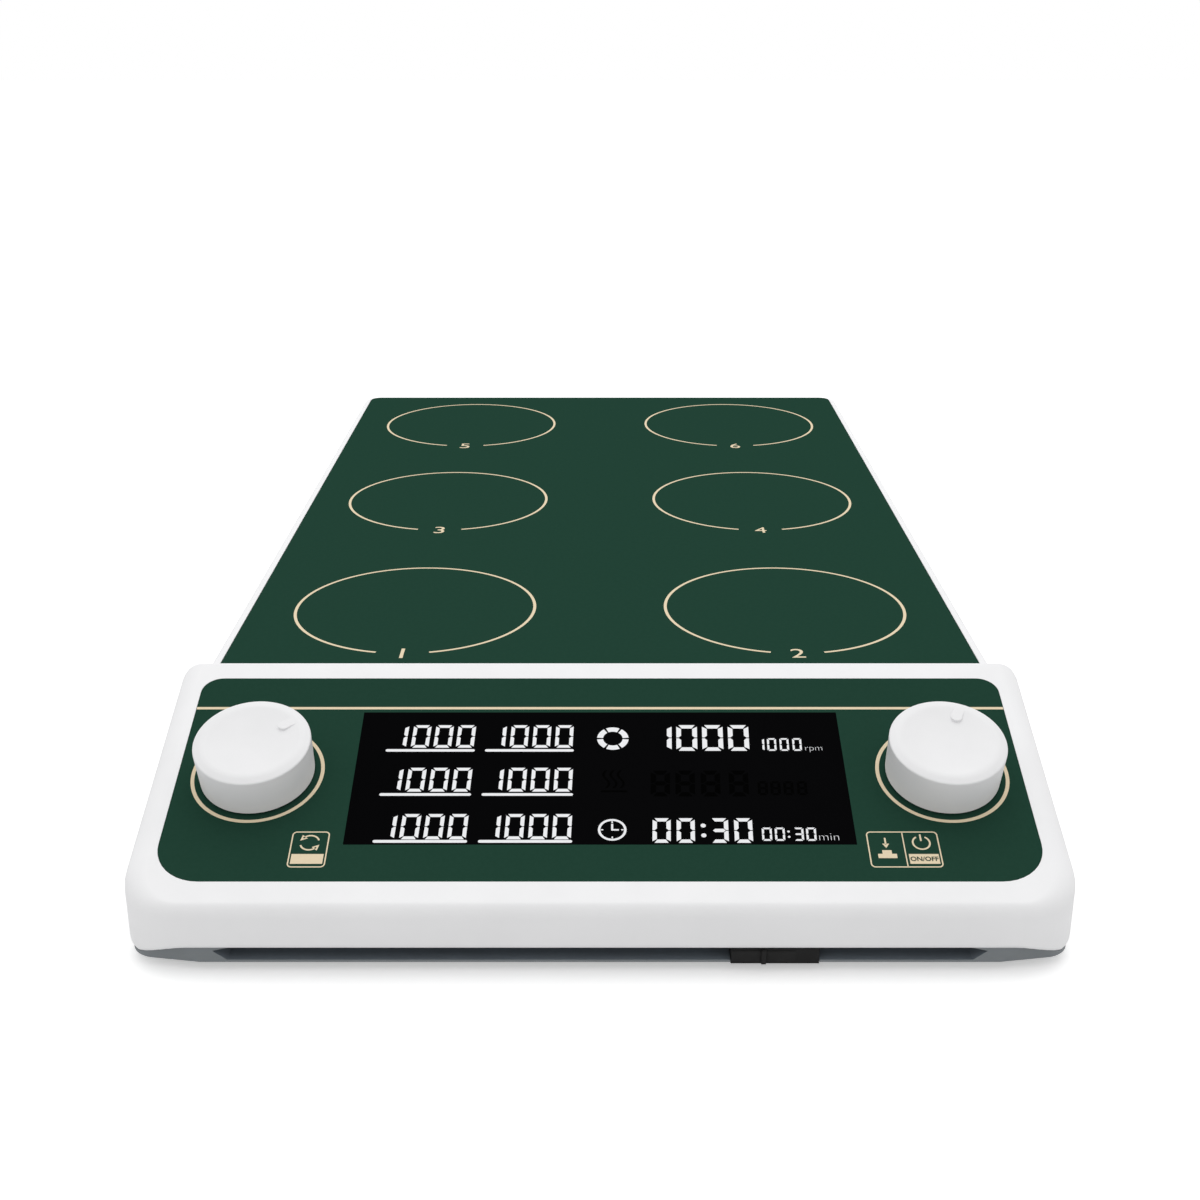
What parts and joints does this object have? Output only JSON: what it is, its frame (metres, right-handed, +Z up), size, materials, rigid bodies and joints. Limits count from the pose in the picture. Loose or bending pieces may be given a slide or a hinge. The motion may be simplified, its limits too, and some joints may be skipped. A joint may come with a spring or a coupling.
{
  "type": "multi-position magnetic stirrer",
  "caption": "Low bench magnetic stirrer with a sloping control console, display and push-turn knobs in front of a flat plate with ring-marked stirring positions.",
  "frame": {"origin": "on the bench plane under the feet, below the middle of the outline in width and depth", "axes": "+X to the right as seen from the control console, +Y from the console to the rear, +Z up"},
  "size_m": [0.322, 0.5566, 0.0681],
  "materials": {
    "shell_white": "satin moulded",
    "base_grey": "fine moulded grain",
    "plate_green": "printed matte face",
    "film_green": "printed matte film",
    "seal_rubber": "matte",
    "lens_black": "polished",
    "display_glass": "clear",
    "backlight_white": "diffusing",
    "board_green": "solder mask",
    "component_black": "moulded",
    "plated_steel": "plated",
    "plunger_ivory": "moulded",
    "knob_white": "satin moulded",
    "motor_steel": "plated",
    "holder_alloy": "turned",
    "magnet_nickel": "nickel plated",
    "winding_copper": "enamelled wire",
    "bush_bronze": "sintered",
    "chassis_sheet": "rolled sheet",
    "loom_sleeve": "sleeved",
    "ribbon_grey": "flat cable",
    "switch_black": "moulded",
    "slide_grey": "moulded"
  },
  "bodies": {
    "housing": {"console_shell": "shell_white", "deck_shell": "shell_white", "base_tray": "base_grey", "top_plate": "plate_green", "plate_gasket": "seal_rubber", "panel_overlay": "film_green", "display_window": "lens_black", "lcd_glass": "display_glass", "lcd_backlight": "backlight_white", "control_board": "board_green", "control_parts": "component_black", "left_encoder_body": "plated_steel", "right_encoder_body": "plated_steel", "encoder_nuts": "plated_steel", "drive_motor_1": "motor_steel", "drive_motor_2": "motor_steel", "drive_motor_3": "motor_steel", "drive_motor_4": "motor_steel", "drive_motor_5": "motor_steel", "drive_motor_6": "motor_steel", "motor_stators": "winding_copper", "motor_bushes": "bush_bronze", "motor_chassis": "chassis_sheet", "chassis_screws": "plated_steel", "motor_screws": "plated_steel", "drive_board": "board_green", "drive_parts": "component_black", "wiring_loom": "loom_sleeve", "panel_ribbon": "ribbon_grey", "dc_inlet": "switch_black", "inlet_nut": "plated_steel", "power_switch_body": "switch_black", "rubber_feet": "seal_rubber", "housing_screws": "plated_steel", "board_screws": "plated_steel"},
    "drive_rotor_1": {"motor_rotor_1": "motor_steel", "magnet_holder_1": "holder_alloy", "stir_magnets_1": "magnet_nickel"},
    "drive_rotor_2": {"motor_rotor_2": "motor_steel", "magnet_holder_2": "holder_alloy", "stir_magnets_2": "magnet_nickel"},
    "drive_rotor_3": {"motor_rotor_3": "motor_steel", "magnet_holder_3": "holder_alloy", "stir_magnets_3": "magnet_nickel"},
    "drive_rotor_4": {"motor_rotor_4": "motor_steel", "magnet_holder_4": "holder_alloy", "stir_magnets_4": "magnet_nickel"},
    "drive_rotor_5": {"motor_rotor_5": "motor_steel", "magnet_holder_5": "holder_alloy", "stir_magnets_5": "magnet_nickel"},
    "drive_rotor_6": {"motor_rotor_6": "motor_steel", "magnet_holder_6": "holder_alloy", "stir_magnets_6": "magnet_nickel"},
    "left_plunger": {"left_push_plunger": "plunger_ivory"},
    "right_plunger": {"right_push_plunger": "plunger_ivory"},
    "left_dial": {"left_knob": "knob_white", "left_encoder_shaft": "plated_steel"},
    "right_dial": {"right_knob": "knob_white", "right_encoder_shaft": "plated_steel"},
    "power_slide": {"power_slider": "slide_grey"}
  },
  "joints": [
    {"name": "rotor_1_spin", "type": "hinge", "parent": "housing", "child": "drive_rotor_1", "pos_m": [-0.0775, -0.10485, 0.04], "axis": [0, 0, 1], "continuous": true},
    {"name": "rotor_2_spin", "type": "hinge", "parent": "housing", "child": "drive_rotor_2", "pos_m": [0.0775, -0.10485, 0.04], "axis": [0, 0, 1], "continuous": true},
    {"name": "rotor_3_spin", "type": "hinge", "parent": "housing", "child": "drive_rotor_3", "pos_m": [-0.0775, 0.05015, 0.04], "axis": [0, 0, 1], "continuous": true},
    {"name": "rotor_4_spin", "type": "hinge", "parent": "housing", "child": "drive_rotor_4", "pos_m": [0.0775, 0.05015, 0.04], "axis": [0, 0, 1], "continuous": true},
    {"name": "rotor_5_spin", "type": "hinge", "parent": "housing", "child": "drive_rotor_5", "pos_m": [-0.0775, 0.20515, 0.04], "axis": [0, 0, 1], "continuous": true},
    {"name": "rotor_6_spin", "type": "hinge", "parent": "housing", "child": "drive_rotor_6", "pos_m": [0.0775, 0.20515, 0.04], "axis": [0, 0, 1], "continuous": true},
    {"name": "left_knob_push", "type": "slide", "parent": "housing", "child": "left_plunger", "axis": [0, 0.3313, -0.9435], "range_m": [0, 0.0007], "stiffness_N_per_m": 3000, "springref_m": -0.001},
    {"name": "left_knob_turn", "type": "hinge", "parent": "left_plunger", "child": "left_dial", "pos_m": [-0.1221, -0.2207, 0.04605], "axis": [0, -0.3313, 0.9435], "continuous": true},
    {"name": "right_knob_push", "type": "slide", "parent": "housing", "child": "right_plunger", "axis": [0, 0.3313, -0.9435], "range_m": [0, 0.0007], "stiffness_N_per_m": 3000, "springref_m": -0.001},
    {"name": "right_knob_turn", "type": "hinge", "parent": "right_plunger", "child": "right_dial", "pos_m": [0.1221, -0.2207, 0.04605], "axis": [0, -0.3313, 0.9435], "continuous": true},
    {"name": "power_slide_move", "type": "slide", "parent": "housing", "child": "power_slide", "axis": [1, 0, 0], "range_m": [0, 0.0078]}
  ]
}
